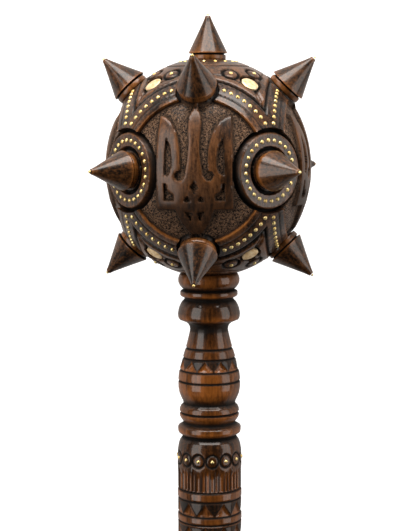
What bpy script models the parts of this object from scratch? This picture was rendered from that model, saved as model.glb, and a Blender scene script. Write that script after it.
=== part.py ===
"""A ceremonial mace of turned and carved wood with a spiked round head, lying at rest.

It is modelled upright: +Z runs from the ball's centre to the top spike, -Y is the front medallion,
and lengths are in millimetres. Each mesh is scaled to metres when it is made. The empty mace_axis
then lays the whole mace down: on two spike tips and on a small flat under the pommel, with its head
towards +X.
"""

import math

import bmesh
import bpy
import numpy as np
from mathutils import Matrix, Vector
from mathutils.geometry import delaunay_2d_cdt

MM = 0.001
GAP = 0.3  # clearance between two pieces that touch

# Ball
BALL_R = 58.0  # radius round its middle
BALL_STRETCH = 1.034  # height over width
BALL_MERIDIANS = 30
BALL_PARALLELS = 16
FOOT_Z = -57.3  # flat under the ball, where the handle meets it
FOOT_R = 20.0

# Medallions, four round the ball: heights are along a medallion's own axis, from the ball's centre
QUARTERS = (0, 90, 180, 270)
GROUND_TOP = 54.4
GROUND_CURVE_R = 62.0
GROUND_R = 35.6  # where the sunk ground meets its bevelled edge
EDGE_ANGLE = math.radians(39.6)  # where the bevel meets the ball
BEVEL_RUN = 1.15  # how far the cutter's bevel runs on past the ball, as a share of the bevel's width
GROUND_SHARES = (0.02, 0.5, 1.0)  # turns of the domed ground, as shares of GROUND_R
CLEAR = 1.3  # a cutter's outer end, in ball radii
MEDALLION_SEGMENTS = 28
RELIEF = 2.1  # the trident's height above the ground
TRIDENT_STEP = 12.0  # longest side of its outline
BAND_ANGLE = math.radians(52.7)  # groove round the outside of the studded band
BAND_GROOVE_W = 1.7
BAND_GROOVE_D = 1.3
BAND_GROOVE_LAP = math.radians(2.3)  # how far two grooves run past the point where they meet

# Ring bosses, four between the medallions
BOSS_R = 20.0
BOSS_FACE = 53.2
BOSS_SEGMENTS = 18
BOSS_TRENCH_R = 21.7
BOSS_TRENCH_FLOOR = 48.6

# Spikes, from the foot of the collar
SPIKE_LATITUDE = math.radians(45.7)
SPIKE_SIDES = 10
COLLAR_H = 3.0
COLLAR_R = 9.8
NECK_H = 0.8
NECK_R = 8.6
CONE_H = 20.3
CONE_R = 10.6
CONE_END_R = 1.5
PIN_H = 0.9
PIN_R = 0.85
PIN_END_R = 0.5
PIN_SIDES = 6
SPIKE_REACH = GAP + COLLAR_H + NECK_H + CONE_H + GAP + PIN_H
SEAT_R = 9.7
SEAT_TRENCH_R = 10.9
SEAT_TRENCH_D = 1.5

# Distance of each row's pin tips from the ball's centre
TOP_TIP = 83.7
UPPER_TIP = 83.8
EQUATOR_TIP = 78.05
LOWER_TIP = 82.6

# Brass discs between the studded bands
DISC_LATITUDE = math.radians(51.0)
DISC_R = 4.7
DISC_H = 1.7
DISC_SIDES = 10
DISC_FLOOR = 56.9  # floor of a disc's pocket, from the ball's centre
POCKET_R = 5.4

# Handle: z is measured down from the ball's centre
HANDLE_SIDES = 16
CYLINDER_R = 17.9
PIT = 1.1  # depth of the carved triangles
TEETH = 11
FLUTES = 42
FLUTE_D = 0.8
FLUTE_END = 1.2
ROSETTES = 14
ROSETTE_D = 0.7
POMMEL_Z = 499.0  # middle of the knob that the handle lies on
POMMEL_R = 20.0
POMMEL_TUBE_R = 11.0  # its profile is an arc of this radius
POMMEL_SIDES = 32  # at its fullest turn
POMMEL_TURNS = (-62, -30, 0, 30, 62)  # degrees along the arc
POMMEL_FLAT = 0.5  # how deep the flat spot under it is cut
HANDLE_END = 516.3

WOOD_DARK = (0.055, 0.026, 0.012, 1.0)
WOOD_WARM = (0.105, 0.045, 0.018, 1.0)
BRASS = (0.72, 0.52, 0.20, 1.0)


def material(name, colour, roughness, metallic):
    made = bpy.data.materials.new(name)
    made.use_nodes = True
    shader = made.node_tree.nodes["Principled BSDF"]
    shader.inputs["Base Color"].default_value = colour
    shader.inputs["Roughness"].default_value = roughness
    shader.inputs["Metallic"].default_value = metallic
    made.diffuse_color = colour
    return made


def add_object(name, mesh, finish=None, parent=None):
    """An object of a mesh in millimetres, scaled to metres."""
    mesh.transform(Matrix.Scale(MM, 4))
    if finish:
        mesh.materials.append(finish)
        mesh.shade_smooth()
        mesh.set_sharp_from_angle(angle=math.radians(35))
    made = bpy.data.objects.new(name, mesh)
    made.parent = parent
    bpy.context.scene.collection.objects.link(made)
    return made


def helper(name, mesh, parent):
    """A cutter or a shape that a Boolean joins to the ball: it isn't a piece of its own."""
    made = add_object(name, mesh, parent=parent)
    made.hide_render = True
    made.display_type = "WIRE"
    return made


def boolean(target, other, operation):
    """The exact solver leaves open edges where grooves meet on the ball, so the manifold one is used."""
    modifier = target.modifiers.new(f"{operation.lower()} {other.name}", "BOOLEAN")
    modifier.operation = operation
    modifier.solver = "MANIFOLD"
    modifier.object = other


def ring(radius, height, sides=None, wave=0.0):
    """Points of one turn. With a wave, every second point is sunk by that much."""
    sides = sides or HANDLE_SIDES
    turn = np.arange(sides) * 2 * math.pi / sides
    radii = radius - wave * (np.arange(sides) % 2)
    return np.stack([radii * np.cos(turn), radii * np.sin(turn), np.full(sides, height)], axis=1)


def stitch(lower, upper, low_count, high_count):
    """Triangles between two turns, walking round both so that their counts may differ."""
    faces = []
    i = j = 0
    while i < low_count or j < high_count:
        if (i + 1) * high_count <= (j + 1) * low_count and i < low_count:
            corners = (lower + i, lower + (i + 1) % low_count, upper + j % high_count)
            i += 1
        elif j < high_count:
            corners = (lower + i % low_count, upper + (j + 1) % high_count, upper + j)
            j += 1
        faces.append(corners)
    return faces


def turned(name, rings):
    """A closed mesh through a list of turns, lowest first, with a flat end at each side."""
    faces = [tuple(range(len(rings[0])))[::-1]]
    start = 0
    for low, high in zip(rings, rings[1:]):
        faces += stitch(start, start + len(low), len(low), len(high))
        start += len(low)
    faces.append(tuple(range(start, start + len(rings[-1]))))
    mesh = bpy.data.meshes.new(name)
    mesh.from_pydata(np.concatenate(rings).tolist(), [], faces)
    return mesh


def lathe(name, profile, sides):
    """A closed mesh from (height, radius) pairs, lowest first."""
    return turned(name, [ring(radius, height, sides) for height, radius in profile])


def aim(azimuth, latitude):
    """Turns +Z to point outwards at an azimuth, counted from -Y towards +X, and a latitude."""
    return Matrix.Rotation(azimuth, 4, "Z") @ Matrix.Rotation(math.pi / 2 - latitude, 4, "X")


def stretch(mesh):
    mesh.transform(Matrix.Diagonal((1, 1, BALL_STRETCH, 1)))
    return mesh


def ball_shape():
    shape = bmesh.new()
    bmesh.ops.create_uvsphere(
        shape, u_segments=BALL_MERIDIANS, v_segments=BALL_PARALLELS, radius=BALL_R
    )
    mesh = bpy.data.meshes.new("head_ball")
    shape.to_mesh(mesh)
    shape.free()
    return stretch(mesh)


def ground_height(radius):
    """The medallion's domed ground, at a distance from its axis."""
    return GROUND_TOP - GROUND_CURVE_R + math.sqrt(GROUND_CURVE_R**2 - radius**2)


def medallion_cutter(azimuth):
    edge_r = BALL_R * math.sin(EDGE_ANGLE)
    edge_a = BALL_R * math.cos(EDGE_ANGLE)
    beyond_r = edge_r + BEVEL_RUN * (edge_r - GROUND_R)
    beyond_a = edge_a + BEVEL_RUN * (edge_a - ground_height(GROUND_R))
    profile = [(ground_height(share * GROUND_R), share * GROUND_R) for share in GROUND_SHARES]
    profile += [(beyond_a, beyond_r), (CLEAR * BALL_R, beyond_r)]
    rings = [ring(r, a, MEDALLION_SEGMENTS) for a, r in profile]
    # The ground bulges upwards, so its first turns lie above the next ones: the ends still close it.
    mesh = turned("medallion_cutter", rings)
    mesh.transform(aim(azimuth, 0))
    return stretch(mesh)


def trident_half():
    """The right half of the outline, from the middle tine's top round to the foot of the shield."""
    notch = [
        (7.7 + 2.75 * math.cos(turn), -2.0 + 2.75 * math.sin(turn))
        for turn in np.radians(np.linspace(205, 455, 7))
    ]
    middle_tine = [(0, 33.4), (2.0, 31.6), (3.1, 25.5), (2.5, 15.0), (3.4, 3.5), (4.3, -0.6)]
    side_tine = [(7.55, 6), (8.6, 15.5), (11.2, 22.3), (14.3, 25.9), (18.3, 27.6)]
    outside = [(19.7, 8), (19.7, -18.6), (9.9, -18.6), (6.6, -26.6), (0, -33.2)]
    return [*middle_tine, *notch, *side_tine, *outside]


def trident_holes():
    """The right-hand holes, and the one in the middle."""
    slot = [(15.1, 17.6), (15.8, -2.0), (14.2, -2.0), (11.6, 2.4), (11.9, 10.8)]
    foot = [(16.2, -5.5), (14.4, -5.5), (13.6, -9.6), (10.3, -11.2), (10.7, -14.7), (16.3, -14.7)]
    diamond = [(0, -4.4), (2.5, -7.7), (0, -11.0), (-2.5, -7.7)]
    return [slot, foot], [diamond]


def subdivided(outline, longest):
    """A closed outline with points added, so that no side is longer than this."""
    points = []
    for start, end in zip(outline, [*outline[1:], outline[0]]):
        parts = max(1, math.ceil(math.dist(start, end) / longest))
        points += [
            (start[0] + (end[0] - start[0]) * k / parts, start[1] + (end[1] - start[1]) * k / parts)
            for k in range(parts)
        ]
    return points


def mirrored(outline):
    return [(-x, y) for x, y in outline]


def is_inside(point, outlines):
    """Whether a point is inside an odd number of the outlines, so inside the shape and in no hole."""
    x, y = point
    crossings = 0
    for outline in outlines:
        for (x0, y0), (x1, y1) in zip(outline, [*outline[1:], outline[0]]):
            if (y0 > y) != (y1 > y) and x < x0 + (y - y0) * (x1 - x0) / (y1 - y0):
                crossings += 1
    return crossings % 2 == 1


def filled(outlines):
    """Points and triangles of a flat shape with holes."""
    points = [Vector(point) for outline in outlines for point in outline]
    edges = []
    for outline in outlines:
        start = len(edges)
        edges += [(start + k, start + (k + 1) % len(outline)) for k in range(len(outline))]
    corners, _, faces, *_ = delaunay_2d_cdt(points, edges, [], 0, 1e-4)
    middles = [sum((corners[k] for k in face), Vector((0, 0))) / 3 for face in faces]
    kept = [face for face, middle in zip(faces, middles) if is_inside(middle, outlines)]
    return corners, kept


def trident_shape(azimuth):
    """The relief on a medallion: a flat shape raised into a block whose top follows the domed ground."""
    half = trident_half()
    sides, middle = trident_holes()
    outlines = [half + mirrored(half[1:-1])[::-1], *sides, *map(mirrored, sides), *middle]
    corners, faces = filled([subdivided(outline, TRIDENT_STEP) for outline in outlines])
    root = ground_height(GROUND_R) - 3.0
    points = [(x, y, root) for x, y in corners]
    points += [(x, y, ground_height(math.hypot(x, y)) + RELIEF) for x, y in corners]
    sides = {(face[k], face[(k + 1) % 3]) for face in faces for k in range(3)}
    count = len(corners)
    solid = [face[::-1] for face in faces]
    solid += [tuple(count + k for k in face) for face in faces]
    solid += [(a, b, count + b, count + a) for a, b in sides if (b, a) not in sides]
    mesh = bpy.data.meshes.new("trident")
    mesh.from_pydata(points, [], sorted(map(tuple, solid)))
    weld(mesh)
    mesh.transform(aim(azimuth, 0))
    return stretch(mesh)


def weld(mesh):
    shape = bmesh.new()
    shape.from_mesh(mesh)
    bmesh.ops.remove_doubles(shape, verts=shape.verts, dist=0.001)
    bmesh.ops.recalc_face_normals(shape, faces=shape.faces)
    shape.to_mesh(mesh)
    shape.free()


def band_groove(azimuth, upper):
    """A V-shaped cutter along the arc of a band's edge, from one neighbouring band to the other."""
    start = math.acos(1 / math.tan(BAND_ANGLE)) - BAND_GROOVE_LAP
    turns = np.linspace(start, math.pi - start, 7) * (1 if upper else -1)
    half = BAND_GROOVE_W / 2 / BALL_R
    section = [
        (BALL_R - BAND_GROOVE_D, BAND_ANGLE),
        (BALL_R + BAND_GROOVE_D, BAND_ANGLE + 2 * half),
        (BALL_R + BAND_GROOVE_D, BAND_ANGLE - 2 * half),
    ]
    points = [
        (r * math.sin(b) * math.cos(turn), r * math.sin(b) * math.sin(turn), r * math.cos(b))
        for turn in turns
        for r, b in section
    ]
    faces = [(0, 1, 2), tuple(3 * len(turns) - 3 + k for k in (2, 1, 0))]
    for i in range(len(turns) - 1):
        for k in range(3):
            a, b = 3 * i + k, 3 * i + (k + 1) % 3
            faces.append((a, a + 3, b + 3, b))
    mesh = bpy.data.meshes.new("band_groove")
    mesh.from_pydata(points, [], faces)
    weld(mesh)
    mesh.transform(aim(azimuth, 0))
    return stretch(mesh)


def boss_shape(azimuth):
    """The raised ring between two medallions, with a trench round the spike's seat."""
    seat = EQUATOR_TIP - SPIKE_REACH
    profile = [
        (BOSS_TRENCH_FLOOR - 8, BOSS_R),
        (BOSS_FACE - 0.7, BOSS_R),
        (BOSS_FACE, BOSS_R - 0.7),
        (BOSS_FACE, 12.5),
        (BOSS_FACE - 2.6, 12.1),
        (BOSS_FACE - 2.6, 11.0),
        (seat, 10.7),
    ]
    mesh = lathe("boss", profile, BOSS_SEGMENTS)
    mesh.transform(aim(azimuth, 0))
    return mesh


def plug(name, start, end, radius, sides, azimuth, latitude):
    """A cylinder along an outward direction, between two distances from the ball's centre."""
    mesh = lathe(name, [(start, radius), (end, radius)], sides)
    mesh.transform(aim(azimuth, latitude))
    return mesh


def spike_places():
    """(name, azimuth, latitude, distance of the tip) of every spike."""
    yield "top", 0.0, math.pi / 2, TOP_TIP
    for row, offset, latitude, tip in (
        ("upper", 0, SPIKE_LATITUDE, UPPER_TIP),
        ("equator", 45, 0.0, EQUATOR_TIP),
        ("lower", 0, -SPIKE_LATITUDE, LOWER_TIP),
    ):
        for number, quarter in enumerate(QUARTERS, 1):
            yield f"{row}_{number}", math.radians(quarter + offset), latitude, tip


def disc_places():
    """(name, azimuth, latitude) of every brass disc."""
    for row, latitude in (("upper", DISC_LATITUDE), ("lower", -DISC_LATITUDE)):
        for number, quarter in enumerate(QUARTERS, 1):
            yield f"{row}_{number}", math.radians(quarter + 45), latitude


def make_head(finish, parent):
    head = add_object("head_ball", ball_shape(), finish, parent)
    outside = 1.4 * BALL_R

    def cut(name, mesh):
        boolean(head, helper(name, mesh, parent), "DIFFERENCE")

    def join(name, mesh):
        boolean(head, helper(name, mesh, parent), "UNION")

    cut("foot_cutter", lathe("foot_cutter", [(-outside, FOOT_R), (FOOT_Z, FOOT_R)], HANDLE_SIDES))
    for quarter in QUARTERS:
        azimuth = math.radians(quarter)
        cut(f"medallion_cutter_{quarter}", medallion_cutter(azimuth))
        join(f"trident_{quarter}", trident_shape(azimuth))
        for upper in (True, False):
            cut(f"band_groove_{quarter}_{'upper' if upper else 'lower'}", band_groove(azimuth, upper))
    for quarter in QUARTERS:
        azimuth = math.radians(quarter + 45)
        trench = plug("trench", BOSS_TRENCH_FLOOR, outside, BOSS_TRENCH_R, BOSS_SEGMENTS, azimuth, 0)
        cut(f"boss_trench_{quarter}", trench)
        join(f"boss_{quarter}", boss_shape(azimuth))
    for name, azimuth, latitude, tip in spike_places():
        if latitude == 0:
            continue
        seat = tip - SPIKE_REACH
        sides = SPIKE_SIDES
        trench = plug("trench", seat - SEAT_TRENCH_D, outside, SEAT_TRENCH_R, sides, azimuth, latitude)
        cut(f"seat_trench_{name}", trench)
        join(f"seat_{name}", plug("seat", seat - 9, seat, SEAT_R, sides, azimuth, latitude))
    for name, azimuth, latitude in disc_places():
        pocket = plug("pocket", DISC_FLOOR, outside, POCKET_R, DISC_SIDES, azimuth, latitude)
        cut(f"disc_pocket_{name}", pocket)
    return head


def make_spikes(wood, brass, parent):
    """Every spike with its tip pin. The copies share one mesh."""
    neck = COLLAR_H + NECK_H / 2
    base = COLLAR_H + NECK_H
    profile = [
        (0, COLLAR_R - 0.3),
        (COLLAR_H, COLLAR_R),
        (neck, NECK_R),
        (base, CONE_R),
        (base + CONE_H, CONE_END_R),
    ]
    spike = lathe("spike", profile, SPIKE_SIDES)
    pin = lathe("spike_pin", [(0, PIN_R), (PIN_H, PIN_END_R)], PIN_SIDES)
    pin.transform(Matrix.Translation((0, 0, base + CONE_H + GAP)))
    for number, (name, azimuth, latitude, tip) in enumerate(spike_places()):
        foot = aim(azimuth, latitude) @ Matrix.Translation((0, 0, (tip - SPIKE_REACH + GAP) * MM))
        for kind, mesh, finish in (("spike", spike, wood), ("tip_pin", pin, brass)):
            label = f"{kind}_{name}"
            if number == 0:
                made = add_object(label, mesh, finish, parent)
            else:
                made = bpy.data.objects.new(label, mesh)
                made.parent = parent
                bpy.context.scene.collection.objects.link(made)
            made.matrix_local = foot


def make_discs(finish, parent):
    profile = [(0, DISC_R), (DISC_H, DISC_R * 0.93)]
    mesh = lathe("brass_disc", profile, DISC_SIDES)
    for number, (name, azimuth, latitude) in enumerate(disc_places()):
        if number == 0:
            made = add_object(f"brass_disc_{name}", mesh, finish, parent)
        else:
            made = bpy.data.objects.new(f"brass_disc_{name}", mesh)
            made.parent = parent
            bpy.context.scene.collection.objects.link(made)
        made.matrix_local = aim(azimuth, latitude) @ Matrix.Translation((0, 0, (DISC_FLOOR + GAP) * MM))


def bead(top, bottom, edge_r, crest_r, steps=2):
    """Turns of a round moulding: a half sine from edge_r out to crest_r and back."""
    shares = np.linspace(0, 1, steps + 2)
    return [
        ring(edge_r + (crest_r - edge_r) * math.sin(math.pi * share), -(top + (bottom - top) * share))
        for share in shares
    ]


def groove(middle, radius, width=1.0, depth=0.8):
    """Turns of a V groove in a plain stretch."""
    return [
        ring(radius, -(middle - width / 2)),
        ring(radius - depth, -middle),
        ring(radius, -(middle + width / 2)),
    ]


def teeth(top, bottom, top_r, bottom_r):
    """Turns of a zigzag band: flat teeth hang from its upper edge, with scooped triangles between."""
    return [ring(top_r, -top, 2 * TEETH), ring(bottom_r, -bottom, 2 * TEETH, PIT)]


def flutes(top, bottom, radius):
    """Turns of a fluted band, whose flutes run out FLUTE_END short of its edges."""
    return [ring(radius, -depth, 2 * FLUTES, FLUTE_D) for depth in (top + FLUTE_END, bottom - FLUTE_END)]


def rosettes(top, bottom, radius):
    """Turns of a row of low round bosses."""
    quarter = (bottom - top) / 4
    return [ring(radius, -depth, 2 * ROSETTES, ROSETTE_D) for depth in (top + quarter, bottom - quarter)]


def plain(*pairs):
    return [ring(radius, -depth) for depth, radius in pairs]


def pommel():
    """Turns of the knob at the handle's end, whose fullest part is an arc of POMMEL_TUBE_R."""
    core = POMMEL_R - POMMEL_TUBE_R
    return [
        ring(
            core + POMMEL_TUBE_R * math.cos(turn),
            -(POMMEL_Z + POMMEL_TUBE_R * math.sin(turn)),
            HANDLE_SIDES if turn else POMMEL_SIDES,
        )
        for turn in np.radians(POMMEL_TURNS)
    ]


def handle_rings():
    """The handle from the ball down: a run of turned and carved bands, then the grip and the pommel."""
    start = -FOOT_Z + GAP
    rings = plain((start, 15.2))
    rings += bead(start + 0.5, 66.8, 14.6, 17.0)
    rings += plain((68.0, 16.0), (70.4, 16.0), (71.6, 13.8))
    rings += plain((73.5, 14.5), (76.8, 16.4), (80.5, 17.3), (82.6, 17.1), (83.8, 16.4))
    rings += plain((85.3, 13.4), (87.6, 10.8), (90.5, 10.7))
    rings += groove(99.9, 12.85)
    rings += groove(105.6, 14.6)
    rings += teeth(106.4, 111.2, 14.9, 16.4)
    rings += groove(112.0, 16.6)
    rings += groove(118.0, 17.2)
    rings += plain((122.5, 17.15), (126.0, 16.4), (129.3, 14.9), (131.0, 14.5))
    rings += plain((132.7, 16.0), (135.4, 16.6), (136.2, 15.9), (137.0, 16.6), (139.6, 15.8), (141.5, 14.7))
    rings += plain((143.4, 17.2), (144.8, 17.6), (147.6, 17.0), (149.6, 15.0))
    rings += plain((151.2, 16.1), (155.0, 17.3), (159.8, CYLINDER_R))
    rings += rosettes(160.5, 168.0, CYLINDER_R)
    rings += plain((168.6, CYLINDER_R))
    rings += flutes(168.8, 182.0, CYLINDER_R)
    rings += groove(182.6, CYLINDER_R)
    rings += groove(187.6, CYLINDER_R)
    rings += teeth(188.3, 195.6, CYLINDER_R, CYLINDER_R)
    rings += groove(196.4, CYLINDER_R)
    rings += groove(201.2, CYLINDER_R)
    rings += plain((214.4, CYLINDER_R), (219.0, 17.2), (221.0, 15.0))
    rings += plain((223.2, 17.2), (225.6, 17.2), (227.6, 14.6))
    # plain grip, a little fuller in its middle
    rings += plain((232.0, 14.0), (280.0, 15.6), (350.0, 16.4), (420.0, 15.6), (466.0, 14.0))
    rings += plain((470.0, 14.6), (472.4, 17.2), (475.0, 17.2), (477.4, 14.6))
    rings += bead(477.8, 484.6, 14.2, 16.6, steps=2)
    rings += pommel()
    rings += plain((HANDLE_END - 3.0, 12.6), (HANDLE_END - 1.0, 10.6), (HANDLE_END, 8.0))
    return rings[::-1]


def make_handle(finish, parent):
    return add_object("handle", turned("handle", handle_rings()), finish, parent)


def reach_down(tip, down):
    """How far under the ball's centre a spike's pin ends.

    down is the cosine of the spike's angle from straight down.
    """
    return tip * down + PIN_END_R * math.sqrt(1 - down**2)


def resting_pose():
    """(roll, tilt, height) at which two spike tips and the pommel's flat all touch the floor.

    The roll turns the mace about its axis, the tilt lowers the pommel, and the height is that of the
    ball's centre. The equator's spike sets the height and the pommel then sets the tilt, so the roll is
    halved in on until the lower row's spike touches too.
    """
    low, high = 0.0, math.radians(20)
    for _ in range(40):
        roll = (low + high) / 2
        tilt = 0.0
        for _ in range(20):
            height = reach_down(EQUATOR_TIP, math.cos(math.pi / 4 - roll) * math.cos(tilt))
            drop = height - (POMMEL_R - POMMEL_TUBE_R) * math.cos(tilt) - POMMEL_TUBE_R + POMMEL_FLAT
            tilt = math.asin(drop / POMMEL_Z)
        down = math.cos(SPIKE_LATITUDE) * math.cos(roll) * math.cos(tilt)
        down += math.sin(SPIKE_LATITUDE) * math.sin(tilt)
        low, high = (roll, high) if reach_down(LOWER_TIP, down) > height else (low, roll)
    return roll, tilt, height


def main():
    for old in list(bpy.data.objects):
        bpy.data.objects.remove(old)
    head_wood = material("dark_stained_varnished_wood", WOOD_DARK, 0.32, 0.0)
    handle_wood = material("warm_stained_varnished_wood", WOOD_WARM, 0.30, 0.0)
    spike_wood = material("spike_stained_varnished_wood", WOOD_WARM, 0.28, 0.0)
    brass = material("polished_brass", BRASS, 0.3, 1.0)

    axis = bpy.data.objects.new("mace_axis", None)
    bpy.context.scene.collection.objects.link(axis)
    make_head(head_wood, axis)
    handle = make_handle(handle_wood, axis)
    make_spikes(spike_wood, brass, axis)
    make_discs(brass, axis)

    roll, tilt, height = resting_pose()
    # Upright +Z becomes +X, -Y becomes +Z; then the roll about the axis, and the tilt.
    lay = Matrix(((0, 0, 1), (-1, 0, 0), (0, -1, 0))).to_4x4()
    axis.matrix_world = (
        Matrix.Translation((0, 0, height * MM))
        @ Matrix.Rotation(-tilt, 4, "Y")
        @ lay
        @ Matrix.Rotation(-roll, 4, "Z")
    )
    bpy.context.view_layer.update()

    floor = helper("pommel_flat_cutter", flat_cutter(), None)
    boolean(handle, floor, "DIFFERENCE")
    centre_on_origin(axis, floor)


def flat_cutter():
    """A block whose top face is the floor, under the pommel."""
    shape = bmesh.new()
    bmesh.ops.create_cube(shape, size=1.0)
    reach = 30.0
    for vertex in shape.verts:
        vertex.co.x = -POMMEL_Z + reach * (1 if vertex.co.x > 0 else -1)
        vertex.co.y *= 2 * reach
        vertex.co.z = 0.0 if vertex.co.z > 0 else -reach
    mesh = bpy.data.meshes.new("pommel_flat_cutter")
    shape.to_mesh(mesh)
    shape.free()
    return mesh


def centre_on_origin(axis, floor):
    """Moves the mace so that the origin is under the middle of its box."""
    bpy.context.view_layer.update()
    corners = np.array(
        [
            made.matrix_world @ Vector(corner)
            for made in bpy.data.objects
            if made.type == "MESH" and not made.hide_render
            for corner in [vertex.co for vertex in made.data.vertices]
        ]
    )
    middle = (corners.min(axis=0) + corners.max(axis=0)) / 2
    shift = Matrix.Translation((-middle[0], -middle[1], 0))
    axis.matrix_world = shift @ axis.matrix_world
    floor.matrix_world = shift @ floor.matrix_world


main()
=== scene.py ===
"""A ceremonial mace of turned and carved wood, with a spiked round head and brass studs, on a white table.

Shapes are worked out upright in millimetres: z runs from the ball's centre to the top spike, -y is the
front medallion and azimuths are counted from -y towards +x. Each finished mesh is then laid down with
the frame that the CAD spikes give.
"""

import math

import bpy
import numpy as np
from mathutils import Matrix, Vector


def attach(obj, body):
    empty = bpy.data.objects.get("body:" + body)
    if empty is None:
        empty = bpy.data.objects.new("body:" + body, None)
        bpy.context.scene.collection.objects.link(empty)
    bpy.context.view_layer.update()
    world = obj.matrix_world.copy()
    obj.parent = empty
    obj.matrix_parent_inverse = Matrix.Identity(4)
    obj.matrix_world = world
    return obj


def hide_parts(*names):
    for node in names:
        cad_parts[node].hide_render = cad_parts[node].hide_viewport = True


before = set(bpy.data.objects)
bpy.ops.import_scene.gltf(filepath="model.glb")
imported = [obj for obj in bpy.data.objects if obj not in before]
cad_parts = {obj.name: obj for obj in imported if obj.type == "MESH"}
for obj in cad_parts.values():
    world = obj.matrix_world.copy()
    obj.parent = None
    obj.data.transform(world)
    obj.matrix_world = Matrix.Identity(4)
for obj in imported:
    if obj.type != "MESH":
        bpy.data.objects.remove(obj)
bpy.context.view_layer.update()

MM = 0.001
QUARTERS = (0, 90, 180, 270)

# Ball and medallions
BALL_R = 58.0
STRETCH = 1.034
BALL_STEPS = 128  # grid cells along each of the six patches of the ball
FOOT_Z = -57.3
FOOT_R = 20.0
GROUND_TOP = 54.4
GROUND_CURVE_R = 62.0
GROUND_R = 35.6
EDGE_ANGLE = math.radians(39.6)
RELIEF = 2.1
WALL = 0.7  # how far a carved wall leans out over its height

# Bands round the medallions: degrees from a medallion's middle, or of latitude
INNER_LINE = 43.6
STUD_CIRCLE = 47.3
OUTER_LINE = 52.7
RIB = 55.0
GORE_LINE = 58.2
POLE_LINES = (66.5, 78.5)
POLE_START = 70.0  # the carved caps above this latitude have no bands
RIDGE_LATITUDES = (31, 44)
DIMPLE_LATITUDE = 43.6
DIMPLE_R = 1.25
RING_DISC_LATITUDE = 57.5
RING_DISC_SIDES = (-14.6, 14.6)  # degrees from the middle between two medallions
RING_DISC_R = 5.4
RING_DISC_GROOVE_R = 4.4
RING_DISC_CROWN_R = 3.6
CROWN_LATITUDE = 74.5
CROWN_STUDS = 16

# Bosses, seats and discs
BOSS_R = 20.0
BOSS_FACE = 53.2
BOSS_TRENCH_R = 21.7
BOSS_TRENCH_FLOOR = 48.6
BOSS_EYE = (10.7, 11.0, 12.4, 13.0)  # radii of the spike's seat, and of the groove round it
BOSS_EYE_D = 2.6
BOSS_STUD_R = 15.9
BOSS_STUDS = 24
SPIKE_LATITUDE = math.radians(45.7)
SPIKE_REACH = 25.6
TIPS = {"top": 83.7, "upper": 83.8, "equator": 78.05, "lower": 82.6}
SEAT_R = 9.7
SEAT_TRENCH_R = 10.9
SEAT_TRENCH_D = 1.5
DISC_LATITUDE = math.radians(51.0)
DISC_R = 4.7
DISC_SIDES = 40
DISC_FLOOR = 56.9
POCKET_R = 5.7
GAP = 0.3

STUD_R = 1.15
STUD_H = 0.8
HANDLE_STUD_SHARE = 0.92  # the handle's studs are a little smaller
BARE = 62.0  # a height over the ball, so that a profile that only lowers leaves the wood as it is


# ---- Frame: where the upright mace lies ----

def points_of(name):
    """The different vertices of a CAD node, in metres."""
    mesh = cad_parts[name].data
    points = np.empty(3 * len(mesh.vertices))
    mesh.vertices.foreach_get("co", points)
    return np.unique(np.round(points.reshape(-1, 3), 6), axis=0)


def unit(vectors):
    """Vectors divided by their lengths."""
    vectors = np.asarray(vectors, float)
    return vectors / np.linalg.norm(vectors, axis=-1, keepdims=True)


tips = {name: points_of(f"tip_pin_{name}").mean(axis=0) for name in
        ("top", "equator_1", "equator_2", "equator_3", "equator_4")}
CENTRE = (tips["equator_1"] + tips["equator_2"] + tips["equator_3"] + tips["equator_4"]) / 4
AXIS = unit(tips["top"] - CENTRE)
FRONT = unit(unit(tips["equator_1"] - CENTRE) + unit(tips["equator_4"] - CENTRE))
RIGHT = unit(np.cross(AXIS, FRONT) * -1)
TURN = np.stack([RIGHT, -FRONT, AXIS])  # rows: where upright x, y and z point when it lies


def laid(points):
    """Upright millimetres to metres as it lies: each coordinate runs along its own row of TURN."""
    return CENTRE + MM * np.asarray(points) @ TURN


# ---- Meshes ----

def made_mesh(name, points, faces, fields, finish, stands_for):
    """One closed piece from upright points, quads or triangles, and named values at its points."""
    points = laid(points)
    points[:, 2] = np.maximum(points[:, 2], 0.0)
    mesh = bpy.data.meshes.new(name)
    corners = np.concatenate([np.asarray(block).reshape(-1) for block in faces]).astype(np.int32)
    sizes = np.concatenate([np.full(len(block), block.shape[1]) for block in faces])
    mesh.vertices.add(len(points))
    mesh.vertices.foreach_set("co", points.astype(np.float32).reshape(-1))
    mesh.loops.add(len(corners))
    mesh.loops.foreach_set("vertex_index", corners)
    mesh.polygons.add(len(sizes))
    mesh.polygons.foreach_set("loop_start", np.concatenate([[0], np.cumsum(sizes)[:-1]]).astype(np.int32))
    mesh.update(calc_edges=True)
    mesh.validate()
    for label, values in fields.items():
        values = np.asarray(values, np.float32)
        if values.ndim == 2:
            mesh.attributes.new(label, "FLOAT_VECTOR", "POINT").data.foreach_set("vector", values.reshape(-1))
        else:
            mesh.attributes.new(label, "FLOAT", "POINT").data.foreach_set("value", values)
    mesh.shade_smooth()
    mesh.set_sharp_from_angle(angle=math.radians(40))
    mesh.materials.append(finish)
    piece = bpy.data.objects.new(name, mesh)
    bpy.context.scene.collection.objects.link(piece)
    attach(piece, "root")
    if stands_for:
        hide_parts(*stands_for)
    return piece


def step(values, low, high):
    """A smooth step: 0 up to low, 1 from high, and 3t^2 - 2t^3 between."""
    share = np.clip((values - low) / (high - low), 0, 1)
    return share * share * (3 - 2 * share)


def notch(values, middle, width):
    """A V of depth 1 at its middle that rises to 0 half a width away."""
    return np.clip(1 - np.abs(values - middle) / (width / 2), 0, 1)


def crest(values, middle, width):
    """A round bump of height 1: the square root of 1 minus the squared distance in half widths."""
    return np.sqrt(np.clip(1 - ((values - middle) / (width / 2)) ** 2, 0, 1))


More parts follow.
